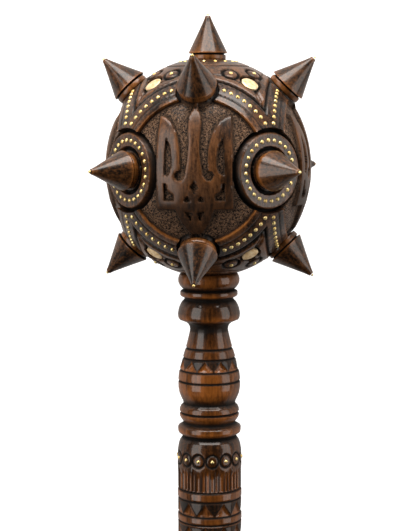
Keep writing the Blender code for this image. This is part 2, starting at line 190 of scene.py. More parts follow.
def pulled(values, knots, reach):
    """Values within reach of a knot are moved onto it, so that an edge gets its own row of points."""
    knots = np.asarray(knots, float)
    nearest = knots[np.abs(values[:, None] - knots).argmin(axis=1)]
    return np.where(np.abs(values - nearest) < reach, nearest, values)


def turned_grid(angles, heights, radii):
    """A tube through rows of points: radius times (sin, -cos) of the angle, at a height.

    Rows run downwards.
    """
    around = len(angles)
    rows = len(heights)
    x = radii * np.sin(angles)
    y = -radii * np.cos(angles)
    z = np.broadcast_to(np.asarray(heights)[:, None], x.shape) if np.ndim(heights) == 1 else heights
    points = np.stack([x, y, z], axis=-1).reshape(-1, 3)
    index = np.arange(rows * around).reshape(rows, around)
    following = np.roll(index, -1, axis=1)
    quads = np.stack([index[:-1], index[1:], following[1:], following[:-1]], axis=-1).reshape(-1, 4)
    return points, quads, index


def capped(points, quads, index):
    """A tube closed by a fan to a middle point at each end."""
    first, last = index[0], index[-1]
    middles = np.stack([points[first].mean(axis=0), points[last].mean(axis=0)])
    count = len(points)
    top = np.stack([np.full(len(first), count), first, np.roll(first, -1)], axis=-1)
    bottom = np.stack([np.full(len(last), count + 1), np.roll(last, -1), last], axis=-1)
    return np.concatenate([points, middles]), [quads, np.concatenate([top, bottom])]


def turned_piece(heights, radii, sides):
    """A closed shape turned about z from a profile that runs downwards."""
    angles = np.linspace(0, 2 * math.pi, sides, endpoint=False)
    return capped(*turned_grid(angles, heights, np.repeat(radii[:, None], sides, axis=1)))


def ball_grid(steps):
    """Directions spread over a ball: equal angles on each face of a cube, pushed out to length 1."""
    slope = np.tan(np.radians(np.linspace(-45, 45, steps + 1)))
    up, across = np.meshgrid(slope, slope, indexing="ij")
    faces, points = [], []
    sides = [((math.sin(a), -math.cos(a), 0), (math.cos(a), math.sin(a), 0), (0, 0, 1))
             for a in np.radians(QUARTERS)]
    sides += [((0, 0, 1), (1, 0, 0), (0, 1, 0)), ((0, 0, -1), (0, 1, 0), (1, 0, 0))]
    index = np.arange((steps + 1) ** 2).reshape(steps + 1, steps + 1)
    corners = [index[:-1, :-1], index[:-1, 1:], index[1:, 1:], index[1:, :-1]]
    quads = np.stack(corners, axis=-1).reshape(-1, 4)
    for number, (out, right, above) in enumerate(sides):
        grid = np.array(out) + across[..., None] * np.array(right) + up[..., None] * np.array(above)
        points.append(unit(grid.reshape(-1, 3)))
        faces.append(quads + number * len(index) ** 2)
    points = np.concatenate(points)
    _, keep, merged = np.unique(np.round(points, 6), axis=0, return_index=True, return_inverse=True)
    return points[keep], merged.reshape(-1)[np.concatenate(faces)]


def direction(azimuth, latitude):
    """Outwards at an azimuth, counted from -y towards +x, and a latitude."""
    return np.array([math.cos(latitude) * math.sin(azimuth), -math.cos(latitude) * math.cos(azimuth),
                     math.sin(latitude)])


def aim(azimuth, latitude):
    """Columns that turn z outwards at an azimuth and a latitude, and x along the parallel."""
    out = direction(azimuth, latitude)
    right = np.array([math.cos(azimuth), math.sin(azimuth), 0.0])
    return np.stack([right, np.cross(out, right), out], axis=1)


# ---- Trident outline ----

def arc(cx, cy, r, start, end, count=12):
    turn = np.radians(np.linspace(start, end, count))
    return list(zip(cx + r * np.cos(turn), cy + r * np.sin(turn)))


def trident():
    """The outline and holes of the relief, as closed runs of (right, up) points in millimetres."""
    middle_tine = [(0, 31.7), (0.9, 31.1), (1.8, 29.8), (2.7, 27.6), (3.15, 24.8), (2.9, 20.0), (2.5, 15.0),
                   (2.7, 9.0), (3.4, 3.5), (4.3, -0.6)]
    side_tine = [(7.3, 2.6), (7.55, 6), (7.8, 11.0), (8.6, 15.5), (9.6, 19.2), (11.2, 22.3), (12.7, 24.4),
                 (14.3, 25.9), (16.2, 27.0), (18.3, 27.6)]
    outside = [(19.2, 18), (19.7, 8), (19.7, -18.6), (9.9, -18.6), (8.5, -22.8), (6.6, -26.6), (3.6, -30.4),
               (0, -33.2)]
    half = middle_tine + arc(7.7, -2.0, 2.75, 205, 455) + side_tine + outside
    slot = [(15.1, 17.6), (15.8, 8.0), (15.8, -2.0), (14.2, -2.0), (12.6, -0.6), (11.6, 2.4), (11.5, 6.5),
            (11.9, 10.8), (13.2, 14.6)]
    foot = [(16.2, -5.5), (14.4, -5.5), (14.3, -7.8), (13.2, -9.8), (10.9, -11.1), (10.3, -12.6),
            (10.7, -14.7), (16.3, -14.7)]
    small = [(3.6, -11.2), (6.1, -15.1), (1.1, -15.1)]
    cut = [(1.2, -20.2), (5.8, -19.6), (2.0, -26.0)]
    holes = [slot, foot, small, cut]
    mirror = [[(-x, y) for x, y in hole] for hole in holes]
    diamond = [(0, -4.4), (2.5, -7.7), (0, -11.0), (-2.5, -7.7)]
    return [half + [(-x, y) for x, y in half[1:-1][::-1]], *holes, *mirror, diamond]


def edge_distance(points, outlines):
    """How far each point is inside the outlines (negative outside), and the unit step towards the inside.

    The distance is to the nearest point of any side, and a point is inside where a ray from it crosses
    the sides an odd number of times.
    """
    best = np.full(len(points), np.inf)
    towards = np.zeros((len(points), 2))
    crossings = np.zeros(len(points), int)
    for outline in outlines:
        ends = np.array(outline)
        for start, end in zip(ends, np.roll(ends, -1, axis=0)):
            side = end - start
            share = np.clip((points - start) @ side / (side @ side), 0, 1)
            offset = points - (start + share[:, None] * side)
            distance = np.hypot(*offset.T)
            nearer = distance < best
            best[nearer] = distance[nearer]
            towards[nearer] = offset[nearer] / np.maximum(distance[nearer], 1e-9)[:, None]
            above = (start[1] > points[:, 1]) != (end[1] > points[:, 1])
            if start[1] != end[1]:
                reach = start[0] + (points[:, 1] - start[1]) * side[0] / side[1]
                crossings += above & (points[:, 0] < reach)
    sign = np.where(crossings % 2 == 1, 1, -1)
    return best * sign, towards * sign[:, None]


# ---- Head ----

def ground_height(radius):
    """The medallion's domed ground: a ball of GROUND_CURVE_R whose top is GROUND_TOP from the centre."""
    return GROUND_TOP - GROUND_CURVE_R + np.sqrt(GROUND_CURVE_R**2 - radius**2)


def fields(count):
    return {name: np.zeros(count) for name in ("sunk", "worn", "punched")}


def carve_bands(points, marks):
    """The studded bands round each medallion and the space between them, as lines cut along circles.

    Each line depends on the angle from the nearest medallion's middle, b. A point moves straight in by
    the sum of its lines' depths.
    """
    folded = np.stack([np.maximum(np.abs(points[:, 0]), np.abs(points[:, 1])), points[:, 2]], axis=1)
    b = np.degrees(np.arccos(np.clip(folded[:, 0], -1, 1)))
    latitude = np.degrees(np.arcsin(points[:, 2]))
    azimuth = np.degrees(np.arctan2(points[:, 0], -points[:, 1]))
    off = np.abs((azimuth + 45) % 90 - 45)  # from the nearest medallion's middle, 45 between two
    between = 45 - off
    high = np.abs(latitude)
    keep = 1 - step(high, POLE_START - 1, POLE_START + 1)
    depth = 0.45 * notch(b, INNER_LINE, 1.0) + 1.35 * notch(b, OUTER_LINE, 1.9) * keep
    depth -= 0.30 * crest(b, RIB, 1.6) * keep
    depth += 0.55 * notch(b, GORE_LINE, 1.0) * keep
    # ridge between two bands, with a leaf-shaped chisel cut
    spread = between * math.pi / 180 * np.cos(np.radians(latitude)) * BALL_R
    gore = step(b, OUTER_LINE + 0.9, OUTER_LINE + 1.9) * keep
    start, end = RIDGE_LATITUDES
    leaf = (high > start) * (high < end) * step(high, start, start + 3)
    depth += 0.9 * notch(spread, 0.9, 1.8) * leaf
    depth += 0.5 * notch(high, POLE_LINES[0], 1.1) + 0.4 * notch(high, POLE_LINES[1], 0.9)
    # drilled dimple and ring discs
    dark = np.zeros(len(points))
    for sector in QUARTERS:
        for row in (1, -1):
            where = direction(math.radians(sector + 45), row * math.radians(DIMPLE_LATITUDE))
            q = np.linalg.norm(points - where, axis=1) * BALL_R
            cut = np.clip(1.6 * (1 - q / DIMPLE_R), 0, 1.0)
            depth += 0.9 * cut
            dark = np.maximum(dark, cut)
            for side in RING_DISC_SIDES:
                where = direction(math.radians(sector + 45 + side), row * math.radians(RING_DISC_LATITUDE))
                q = np.linalg.norm(points - where, axis=1) * BALL_R
                inside = q < RING_DISC_R
                depth = np.where(inside, 0.0, depth)
                depth += 1.3 * notch(q, RING_DISC_GROOVE_R, 2.0)
                depth -= 0.5 * np.clip(1 - (q / RING_DISC_CROWN_R) ** 2, 0, 1)
                dark = np.where(inside, 0, dark)
                dark = np.maximum(dark, np.clip(2.4 * notch(q, RING_DISC_GROOVE_R, 2.6), 0, 1))
    # the cut lines, and through dark the dimples and ring-disc grooves, are painted near black: staining in
    # the cuts and painted shade
    lines = 0.8 * notch(b, INNER_LINE, 1.3)
    lines += (1.5 * notch(b, OUTER_LINE, 2.2) + 1.0 * notch(b, GORE_LINE, 1.4)) * keep
    lines += 1.3 * notch(high, POLE_LINES[0], 1.6) + 0.9 * notch(high, POLE_LINES[1], 1.3)
    marks["sunk"] = np.maximum(np.clip(lines, 0, 1), dark)
    marks["worn"] = np.maximum(0.55 * crest(b, RIB, 1.8) * keep, 0.25 * gore)
    return points * (BALL_R - depth)[:, None]


def carve_medallions(points, marks):
    """The four recessed grounds with their tridents.

    Near a medallion's axis a point is moved along that axis to the ground's height; inside the trident's
    outline it stands RELIEF higher, its wall leaning WALL outwards. Points near an edge are first moved
    onto it.
    """
    outlines = trident()
    edge_r = BALL_R * math.sin(EDGE_ANGLE)
    rim = BALL_R * math.cos(EDGE_ANGLE)
    foot = ground_height(GROUND_R)
    for quarter in QUARTERS:
        turn = aim(math.radians(quarter), 0)
        local = points @ turn
        near = (local[:, 2] > 0) & (np.hypot(local[:, 0], local[:, 1]) < edge_r + 1.0)
        part = local[near]
        flat = part[:, :2].copy()
        r = np.hypot(*flat.T)
        drawn = pulled(r, (GROUND_R, edge_r), 0.34)
        flat *= (drawn / np.maximum(r, 1e-9))[:, None]
        inside = drawn < edge_r - 1e-6
        for _ in range(2):
            distance, towards = edge_distance(flat, outlines)
            goal = pulled(distance, (0.0, -WALL), 0.33)
            flat += np.where(inside, goal - distance, 0)[:, None] * towards
        distance, _ = edge_distance(flat, outlines)
        r = np.hypot(*flat.T)
        raised = step(distance, -WALL - 0.01, 0.01) * (r < GROUND_R - 0.2)
        bevel = foot + (rim - foot) * (r - GROUND_R) / (edge_r - GROUND_R)
        height = np.where(r <= GROUND_R, ground_height(np.minimum(r, GROUND_R)), bevel)
        # the ground lies a little deeper round the relief, and its top is slightly rounded at the edge
        soft = 0.18 * np.exp(-np.maximum(distance, 0) / 0.5) * (distance > -0.01)
        height = height + raised * RELIEF - soft
        part[:, :2] = flat
        part[:, 2] = np.where(inside & (r < edge_r - 1e-6), height, part[:, 2])
        local[near] = part
        points = local @ turn.T
        # painted shade: the ground darkens close round the relief's foot, and in a ring just inside its rim
        # where the wall rises
        corner_shade_and_dark_relief = np.where(distance < 0, np.exp(distance / 1.3), 0) * (r < GROUND_R)
        corner_shade_and_dark_relief = np.maximum(corner_shade_and_dark_relief, 0.6 * step(r, GROUND_R - 2.0, GROUND_R) * (r < GROUND_R + 0.4))
        # the relief is darker all over, and more so towards its foot
        relief_darkening = 0.16 + 0.44 * step(-flat[:, 1], 0, 20)
        corner_shade_and_dark_relief = np.maximum(corner_shade_and_dark_relief, relief_darkening * (distance >= 0) * (r < GROUND_R - 0.5))
        marks["sunk"][near] = np.where(inside, corner_shade_and_dark_relief, marks["sunk"][near])
        worn = np.where(distance > -0.4, 0.25 + 0.25 * np.exp(-np.abs(distance) / 0.6), 0) * (r < GROUND_R)
        slope = step(r, GROUND_R + 0.2, GROUND_R + 0.9) * (1 - step(r, edge_r + 0.2, edge_r + 1))
        worn = np.maximum(worn, slope)
        marks["worn"][near] = np.where(r < edge_r + 1, worn, marks["worn"][near])
        marks["punched"][near] = np.where(inside, (distance < -0.3) * (r < GROUND_R - 0.3), 0)
    return points


def sink_round(points, marks, axis, knots, levels, floor_from, sunk, open_side=False):
    """A turned feature round an outward axis: a point's height along the axis follows its distance from it.

    knots and levels are the profile. Beyond floor_from the profile only lowers a point, so that a trench
    never fills a deeper place. sunk lists (from, to) distances painted dark, as staining and painted shade,
    and with open_side a place that was already deeper keeps its own finish. A point near a knot is moved
    onto it.
    """
    reach = 0.36
    height = points @ axis
    away = points - height[:, None] * axis
    q = np.linalg.norm(away, axis=1)
    near = (height > 0) & (q < knots[-1])
    drawn = np.where(near, pulled(q, knots, reach), q)
    near &= drawn < knots[-1] - 1e-6
    profile = np.interp(drawn, knots, levels)
    lowered = np.minimum(profile, height)
    new = np.where(drawn > floor_from, lowered, profile)
    scale = (drawn / np.maximum(q, 1e-9))[:, None]
    moved = away * scale + np.where(near, new, height)[:, None] * axis
    reached = np.zeros(len(points))
    for start, end in sunk:
        within = step(drawn, start - 0.35, start) * (1 - step(drawn, end, end + 0.35))
        reached = np.maximum(reached, near * within)
    deeper = (drawn > floor_from + 0.05) & (height < profile - 0.3)
    touched = near & ~deeper if open_side else near
    for name in marks:
        marks[name] = np.where(touched, 0, marks[name])
    marks["sunk"] = np.where(touched, reached, marks["sunk"])
    return np.where((q < knots[-1] + reach)[:, None], moved, points), near, drawn


def head(finish):
    """The ball: bands, medallions, then the stretch along its axis, then bosses, seats and pockets."""
    points, quads = ball_grid(BALL_STEPS)
    marks = fields(len(points))
    points = carve_bands(points, marks)
    points = carve_medallions(points, marks)
    points[:, 2] *= STRETCH
    equator_seat = TIPS["equator"] - SPIKE_REACH
    for quarter in QUARTERS:
        axis = direction(math.radians(quarter + 45), 0)
        knots = (0, *BOSS_EYE, BOSS_R - 0.6, BOSS_R, BOSS_R + WALL, BOSS_TRENCH_R, BOSS_TRENCH_R + 0.7)
        levels = (equator_seat, equator_seat, BOSS_FACE - BOSS_EYE_D, BOSS_FACE - BOSS_EYE_D, BOSS_FACE,
                  BOSS_FACE, BOSS_FACE - 0.6, BOSS_TRENCH_FLOOR, BOSS_TRENCH_FLOOR, BALL_R - 2.0)
        # the boss's eye groove and its trench are painted near black: staining and painted shade in the cuts
        dark = ((BOSS_EYE[0] - 0.1, BOSS_EYE[2] + 0.3), (BOSS_R + 0.1, BOSS_TRENCH_R + 0.3))
        points, near, q = sink_round(points, marks, axis, knots, levels, BOSS_R + 0.01, dark)
        edges = 0.7 * crest(q, BOSS_R - 0.1, 1.6) + 0.3 * crest(q, BOSS_EYE[3] + 0.2, 1.2)
        marks["worn"] = np.where(near, edges, marks["worn"])
    seats = [("top", 0, math.pi / 2)]
    for quarter in QUARTERS:
        seats += [("upper", quarter, SPIKE_LATITUDE), ("lower", quarter, -SPIKE_LATITUDE)]
    for row, quarter, latitude in seats:
        axis = direction(math.radians(quarter), latitude)
        seat = TIPS[row] - SPIKE_REACH
        floor = seat - SEAT_TRENCH_D
        knots = (0, SEAT_R, SEAT_R + 0.4, SEAT_TRENCH_R, SEAT_TRENCH_R + 0.6)
        levels = (seat, seat, floor, floor, BARE)
        # the trench round a spike's seat is painted dark: painted shade under the collar, with staining
        dark = ((SEAT_R + 0.15, SEAT_TRENCH_R),)
        points = sink_round(points, marks, axis, knots, levels, SEAT_R + 0.01, dark, open_side=True)[0]
    for quarter in QUARTERS:
        for latitude in (DISC_LATITUDE, -DISC_LATITUDE):
            axis = direction(math.radians(quarter + 45), latitude)
            knots = (0, POCKET_R, POCKET_R + 0.5)
            levels = (DISC_FLOOR, DISC_FLOOR, BARE)
            # the whole pocket is painted near black: painted shade in the gap round the disc and under it
            points = sink_round(points, marks, axis, knots, levels, 0.0, ((0.0, POCKET_R + 0.3),))[0]
    # flat foot under the ball
    under = (points[:, 2] < FOOT_Z) & (np.hypot(points[:, 0], points[:, 1]) < FOOT_R)
    points[under, 2] = FOOT_Z
    marks["grain"] = points * MM
    return made_mesh("carved_head", points, [quads], marks, finish, ["head_ball"])


# ---- Spikes, pins, studs and discs ----

def spike_places():
    """(name, azimuth, latitude, distance of the tip) of every spike."""
    yield "top", 0.0, math.pi / 2, TIPS["top"]
    rows = (("upper", 0, SPIKE_LATITUDE), ("equator", 45, 0.0), ("lower", 0, -SPIKE_LATITUDE))
    for row, offset, latitude in rows:
        for number, quarter in enumerate(QUARTERS, 1):
            yield f"{row}_{number}", math.radians(quarter + offset), latitude, TIPS[row]


SPIKE_PROFILE = [  # height above the foot, radius, sunk, worn; sunk paints near black: painted shade where the spike meets the ball and round the pin, staining and painted shade in the collar's groove
    (0.0, 9.3, 0.6, 0.0), (0.25, 9.55, 0.2, 0.5), (0.8, 9.75, 0.0, 0.6), (2.3, 9.8, 0.0, 0.75),
    (2.85, 9.65, 0.1, 0.9), (3.05, 9.3, 0.7, 0.2), (3.3, 8.7, 1.0, 0.0), (3.5, 8.7, 1.0, 0.0),
    (3.72, 9.4, 0.9, 0.0), (3.85, 10.3, 0.3, 0.6), (4.1, 10.58, 0.0, 1.0), (4.6, 10.4, 0.0, 0.45),
    (5.2, 10.1, 0.0, 0.15), (8.0, 8.75, 0.0, 0.0), (12.0, 6.8, 0.0, 0.0), (16.0, 4.9, 0.0, 0.0),
    (20.0, 3.0, 0.0, 0.0), (22.6, 1.85, 0.0, 0.1), (23.7, 1.5, 0.0, 0.5), (24.05, 1.25, 0.1, 0.4),
    (24.1, 0.95, 0.8, 0.0),
]


# height above the spike's foot, radius
PIN_PROFILE = [(24.98, 0.28), (24.9, 0.5), (24.6, 0.72), (24.1, 0.84)]
SPIKE_SIDES = 48
PIN_SIDES = 16


def spikes(wood, brass):
    """Each spike is a profile turned about its own axis, and so is the pin in its tip."""
    def all_round(values):
        return np.append(np.repeat(values, SPIKE_SIDES), (values[0], values[-1]))

    heights, radii, sunk, worn = np.array(SPIKE_PROFILE[::-1]).T
    shape, faces = turned_piece(heights, radii, SPIKE_SIDES)
    marks = {"sunk": all_round(sunk), "worn": all_round(worn), "punched": np.zeros(len(shape))}
    pin_heights, pin_radii = np.array(PIN_PROFILE).T
    pin, pin_faces = turned_piece(pin_heights + GAP, pin_radii, PIN_SIDES)
    for number, (name, azimuth, latitude, tip) in enumerate(spike_places()):
        turn = aim(azimuth, latitude)
        foot = tip - SPIKE_REACH + GAP
        placed = (shape + (0, 0, foot)) @ turn.T
        grain = shape * MM + (0.05 * number, 0.03 * number, 0.2 * number)
        made_mesh(f"turned_spike_{name}", placed, faces, {**marks, "grain": grain}, wood,
                  [f"spike_{name}"])
        made_mesh(f"brass_tip_{name}", (pin + (0, 0, foot)) @ turn.T, pin_faces, {}, brass,
                  [f"tip_pin_{name}"])


def many(shape, faces, feet, outs):
    """Copies of one small shape: each is turned so that its z points along its own outward step."""
    outs = unit(outs)
    helpers = np.where(np.abs(outs[:, 2:]) > 0.9, (1.0, 0, 0), (0, 0, 1.0))
    right = unit(np.cross(helpers, outs))
    up = np.cross(outs, right)
    turns = np.stack([right, up, outs], axis=1)
    points = (shape[None] @ turns + np.asarray(feet)[:, None]).reshape(-1, 3)
    shift = np.arange(len(feet)) * len(shape)
    return points, [(block[None] + shift[:, None, None]).reshape(-1, block.shape[1]) for block in faces]


def dome(radius, height, sides=10):
    """A stud's head: rings of a flattened dome, from its crown to a foot just under the wood."""
    rise = np.radians([62, 30, 0])
    heights = np.append(height * np.sin(rise), -0.4)
    radii = np.append(radius * np.cos(rise), radius)
    points, faces = turned_piece(heights, radii, sides)
    points[-2, 2] = height
    return points, faces


def band_studs():
    """Feet and outward steps of the studs on the bands: 8 to a quarter of each circle."""
    turns = np.radians(19.0 + 5.3 * np.arange(8))
    turns = np.concatenate([turns, -turns, math.pi - turns, math.pi + turns])
    b = math.radians(STUD_CIRCLE)
    around = math.sin(b) * np.stack([np.sin(turns), np.cos(turns)], axis=1)
    ring = np.column_stack([around, np.full(len(turns), math.cos(b))])
    outs = np.concatenate([ring @ aim(math.radians(quarter), 0).T for quarter in QUARTERS])
    feet = outs * BALL_R * (1, 1, STRETCH)
    return feet, outs / (1, 1, STRETCH)


def boss_studs():
    """Feet and outward steps of the ring of studs on each boss."""
    turns = np.radians(np.arange(BOSS_STUDS) * 360 / BOSS_STUDS + 4)
    around = BOSS_STUD_R * np.stack([np.sin(turns), np.cos(turns)], axis=1)
    ring = np.column_stack([around, np.full(BOSS_STUDS, BOSS_FACE)])
    turn = [aim(math.radians(quarter + 45), 0) for quarter in QUARTERS]
    feet = np.concatenate([ring @ t.T for t in turn])
    return feet, np.repeat([t[:, 2] for t in turn], BOSS_STUDS, axis=0)


def on_ball(azimuth, latitude, depth):
    """Feet, this deep under the ball's surface, and outward steps, from degrees."""
    out = np.array([direction(math.radians(a), math.radians(l)) for a, l in zip(azimuth, latitude)])
    return out * (BALL_R - depth) * (1, 1, STRETCH), out / (1, 1, STRETCH)


def crown_studs():
    """A ring of studs round the top spike, and a dot in each ring disc."""
    turns = np.arange(CROWN_STUDS) * 360 / CROWN_STUDS
    feet, outs = on_ball(turns, np.full(CROWN_STUDS, CROWN_LATITUDE), depth=0.3)
    spots = [(quarter + 45 + side, row * RING_DISC_LATITUDE)
             for quarter in QUARTERS for side in RING_DISC_SIDES for row in (1, -1)]
    dots, dot_outs = on_ball(*zip(*spots), depth=-0.35)
    return np.concatenate([feet, dots]), np.concatenate([outs, dot_outs])


def studs(brass):
    shape, faces = dome(STUD_R, STUD_H)
    for name, (feet, outs) in (("band_studs", band_studs()), ("boss_studs", boss_studs()),
                               ("crown_studs", crown_studs()), ("handle_studs", handle_studs())):
        size = HANDLE_STUD_SHARE if name == "handle_studs" else 1.0
        points, blocks = many(shape * size, faces, feet, outs)
        made_mesh(name, points, blocks, {}, brass, None)


def discs(brass):
    """Each disc is a shallow dome with a rounded edge, set in its pocket."""
    heights = np.array([1.7, 1.66, 1.56, 1.38, 1.1, 0.0])
    radii = np.array([0.9, 2.2, 3.3, 4.2, DISC_R - 0.02, DISC_R])
    shape, faces = turned_piece(heights, radii, DISC_SIDES)
    for row, latitude in (("upper", DISC_LATITUDE), ("lower", -DISC_LATITUDE)):
        for number, quarter in enumerate(QUARTERS, 1):
            turn = aim(math.radians(quarter + 45), latitude)
            placed = (shape + (0, 0, DISC_FLOOR + GAP)) @ turn.T
            made_mesh(f"domed_disc_{row}_{number}", placed, faces, {}, brass,
                      [f"brass_disc_{row}_{number}"])


# ---- Handle ----

HANDLE_TOP = 57.6
CYLINDER_R = 17.9
POMMEL_Z = 499.0
POMMEL_R = 20.0
POMMEL_TUBE_R = 11.0
AROUND = 252
TEETH = 11
FLUTES = 42
ROSETTES = 14
ROSETTE_S = 161.2
ROSETTE_R = 3.55
FLUTE_TOP = 164.6
FLUTE_FOOT = 178.0
CARVED_END = 229.0
GRIP_END = 466.0
ROW_GAP = 0.56  # between the grid's rows where it is carved

TURNED = [  # depth under the ball's centre, radius
    (57.6, 14.8), (57.9, 15.2), (58.2, 15.4), (58.5, 16.0), (59.6, 16.6), (61.2, 17.0), (63.0, 16.95),
    (64.6, 16.3), (66.0, 15.2), (66.9, 14.3), (67.3, 14.3), (67.8, 15.6), (68.6, 15.95), (70.2, 15.95),
    (70.9, 15.4), (71.6, 13.8), (72.4, 13.5), (73.2, 14.1), (74.2, 15.1), (76.0, 16.1), (78.0, 16.8),
    (80.5, 17.3), (82.0, 17.2), (83.2, 16.9), (83.9, 16.4), (84.6, 14.6), (85.4, 12.9), (86.4, 11.6),
    (87.8, 10.8), (89.4, 10.55), (90.6, 10.7), (94.0, 11.5), (98.0, 12.5), (101.0, 13.4), (105.6, 14.75),
    (110.0, 16.0), (112.0, 16.6), (115.0, 17.0), (118.0, 17.3), (122.0, 17.2), (125.0, 16.7),
    (127.4, 15.8), (129.4, 14.8), (130.8, 14.4), (131.6, 14.8), (132.6, 15.9), (134.0, 16.5), (135.2, 16.6),
    (135.9, 16.1), (136.2, 15.5), (136.5, 16.1), (137.2, 16.6), (138.4, 16.4), (139.8, 15.6), (141.2, 14.6),
    (142.0, 14.5), (142.9, 15.6), (143.8, 17.2), (144.6, 17.6), (146.4, 17.5), (147.4, 17.2), (148.0, 16.4),
    (149.0, 15.0), (149.8, 14.8), (150.6, 15.5), (152.0, 16.5), (154.0, 17.2), (157.0, 17.7), (160.0, 17.9),
    (212.0, 17.9), (216.0, 17.75), (219.0, 17.0), (220.6, 15.4), (221.4, 15.0), (222.2, 16.0), (223.2, 17.2),
    (225.4, 17.2), (226.4, 16.2), (227.4, 14.8), (229.0, 14.1), (232.0, 14.0), (256.0, 14.9), (280.0, 15.6),
    (315.0, 16.15), (350.0, 16.4), (385.0, 16.15), (420.0, 15.6), (446.0, 14.8), (464.0, 14.1),
    (468.6, 14.1), (470.6, 15.0), (471.6, 16.6), (472.6, 17.2), (474.8, 17.2), (475.8, 16.6), (477.0, 14.8),
    (477.8, 14.2), (478.6, 15.0), (480.0, 16.2), (481.4, 16.6), (483.0, 16.1), (484.4, 14.9), (485.4, 14.2),
    (487.0, 14.0),
]
POMMEL_TAIL = [(511.4, 13.7), (512.6, 12.6), (514.0, 11.8), (515.3, 10.6), (516.0, 9.6), (516.3, 8.0)]
# (depth, share): where the wood is shown warmer, and where a hollow between mouldings or the join under the
# ball is painted black, as staining and painted shade
WARM = [
    (57.6, 0.3), (62.0, 0.65), (65.5, 0.3), (68.0, 0.1), (70.2, 0.85), (71.4, 0.2), (74.0, 0.08), (80.0, 0.2),
    (82.8, 0.9), (84.0, 0.6), (86.0, 0.0), (91.0, 0.1), (94.0, 0.25), (99.0, 0.45), (102.0, 0.35),
    (106.0, 0.35), (112.0, 0.5), (115.5, 0.65), (119.0, 0.6), (123.0, 1.0), (126.0, 0.75), (128.6, 0.25),
    (131.0, 0.0),
    (134.0, 0.35), (138.0, 0.8), (140.0, 0.5), (142.0, 0.0), (143.6, 0.15), (146.4, 0.95), (148.0, 0.5),
    (149.0, 0.0), (152.0, 0.04), (158.0, 0.15), (168.0, 0.2), (179.0, 0.5), (184.0, 0.6), (193.0, 0.5),
    (197.0, 0.6), (206.0, 0.45), (213.0, 0.3), (217.0, 0.45), (220.0, 0.1), (224.5, 0.9), (228.0, 0.1),
    (234.0, 0.25), (270.0, 0.45), (350.0, 0.6), (430.0, 0.45), (464.0, 0.2), (468.0, 0.0), (473.6, 0.8),
    (477.4, 0.0), (481.4, 0.7), (485.0, 0.0), (492.0, 0.25), (499.0, 0.65), (508.0, 0.3), (516.3, 0.2),
]
HOLLOW_STAIN_AND_SHADE = [
    (57.6, 0.9), (58.6, 0.2), (60.0, 0.0), (64.8, 0.0), (66.5, 0.8), (67.4, 1.0), (67.8, 0.3), (68.4, 0.0),
    (70.8, 0.0), (71.5, 0.9), (73.2, 0.95), (74.4, 0.35), (76.0, 0.0), (83.9, 0.0), (85.0, 0.55), (87.0, 0.7),
    (90.0, 0.75), (90.9, 0.1), (91.5, 0.0), (127.2, 0.0), (129.4, 0.6), (130.8, 0.95), (131.6, 0.5),
    (132.6, 0.0), (139.6, 0.0), (141.2, 0.85), (142.4, 1.0), (143.0, 0.4), (143.6, 0.0), (147.8, 0.0),
    (148.4, 0.8), (149.0, 1.0), (150.2, 1.0), (150.9, 0.3), (151.8, 0.0), (219.4, 0.0), (220.6, 0.9),
    (221.6, 0.9), (222.4, 0.1), (226.0, 0.0), (227.4, 0.9), (229.4, 0.5), (232.0, 0.0), (466.0, 0.0),
    (468.8, 0.8), (470.0, 0.8), (471.2, 0.0), (475.8, 0.0), (477.2, 0.9), (478.2, 0.9), (479.0, 0.0),
    (483.6, 0.0), (485.0, 0.9), (487.2, 0.8), (489.0, 0.0), (516.3, 0.0),
]
RINGS = ((99.9, 1.0), (105.4, 1.0), (112.2, 1.0), (118.2, 1.0), (179.1, 1.1), (184.4, 1.1), (192.8, 1.1),
         (197.4, 1.1), (205.8, 1.1), (136.2, 0.8), (67.4, 0.8))  # depth, width
TOOTH_BANDS = ((106.2, 111.4), (185.1, 192.1), (198.2, 205.0))


def turned_radius(s):
    """The handle's turned outline: straight runs between the listed radii, and an arc at the pommel."""
    depth, radius = np.array(TURNED + POMMEL_TAIL).T
    runs = np.interp(s, depth, radius)
    start = TURNED[-1][0]
    end, end_r = POMMEL_TAIL[0]
    bulge = POMMEL_R - POMMEL_TUBE_R + np.sqrt(np.maximum(POMMEL_TUBE_R**2 - (s - POMMEL_Z) ** 2, 0))
    return np.where((s > start) & (s < end), np.maximum(bulge, end_r), runs)


def handle_rows():
    """Depths of the grid's rows: half a millimetre apart where it is carved, and wider on the grip."""
    fine = np.arange(HANDLE_TOP, CARVED_END, ROW_GAP)
    grip = np.arange(CARVED_END, GRIP_END, 7.9)
    end = np.arange(GRIP_END, 513.0, 1.0)
    rows = np.concatenate([fine, grip, end, [depth for depth, _ in POMMEL_TAIL[2:]]])
    return np.unique(pulled(rows, [depth for depth, _ in TURNED], ROW_GAP / 2))


def cut_rings(s, carved):
    """V grooves all round, painted near black as thick staining and painted shade."""
    for middle, width in RINGS:
        carved["depth"] = np.maximum(carved["depth"], 0.75 * notch(s, middle, 1.5 * width))
        carved["sunk"] = np.maximum(carved["sunk"], np.clip(1.8 * notch(s, middle, 1.9 * width), 0, 1))


def cut_teeth(s, turn, carved):
    """A zigzag rises and falls once for each tooth, and below it the wood is scooped."""
    wave = np.abs(((turn * TEETH / (2 * math.pi)) % 1) - 0.5) * 2  # 0 under a tooth's tip, 1 between two
    for top, bottom in TOOTH_BANDS:
        share = (s - top) / (bottom - top)
        below = share - (1 - wave)
        scoop = np.clip(below * 3.0, 0, 1) * np.clip((1.06 - share) * 6, 0, 1)
        rubbed = 0.9 if top == TOOTH_BANDS[0][0] else 0.55
        # a dark line is painted along each scoop's edge, painted shade in that crease, and the uncut tooth is
        # darker
        here = {"depth": 1.15 * scoop + 0.12, "worn": np.where(below > 0, rubbed, 0.0),
                "sunk": 0.8 * np.exp(-np.abs(below - 0.04) / 0.07) + 0.35 * (below < 0)}
        for name, values in here.items():
            carved[name] = np.where((share > 0) & (share < 1), values, carved[name])


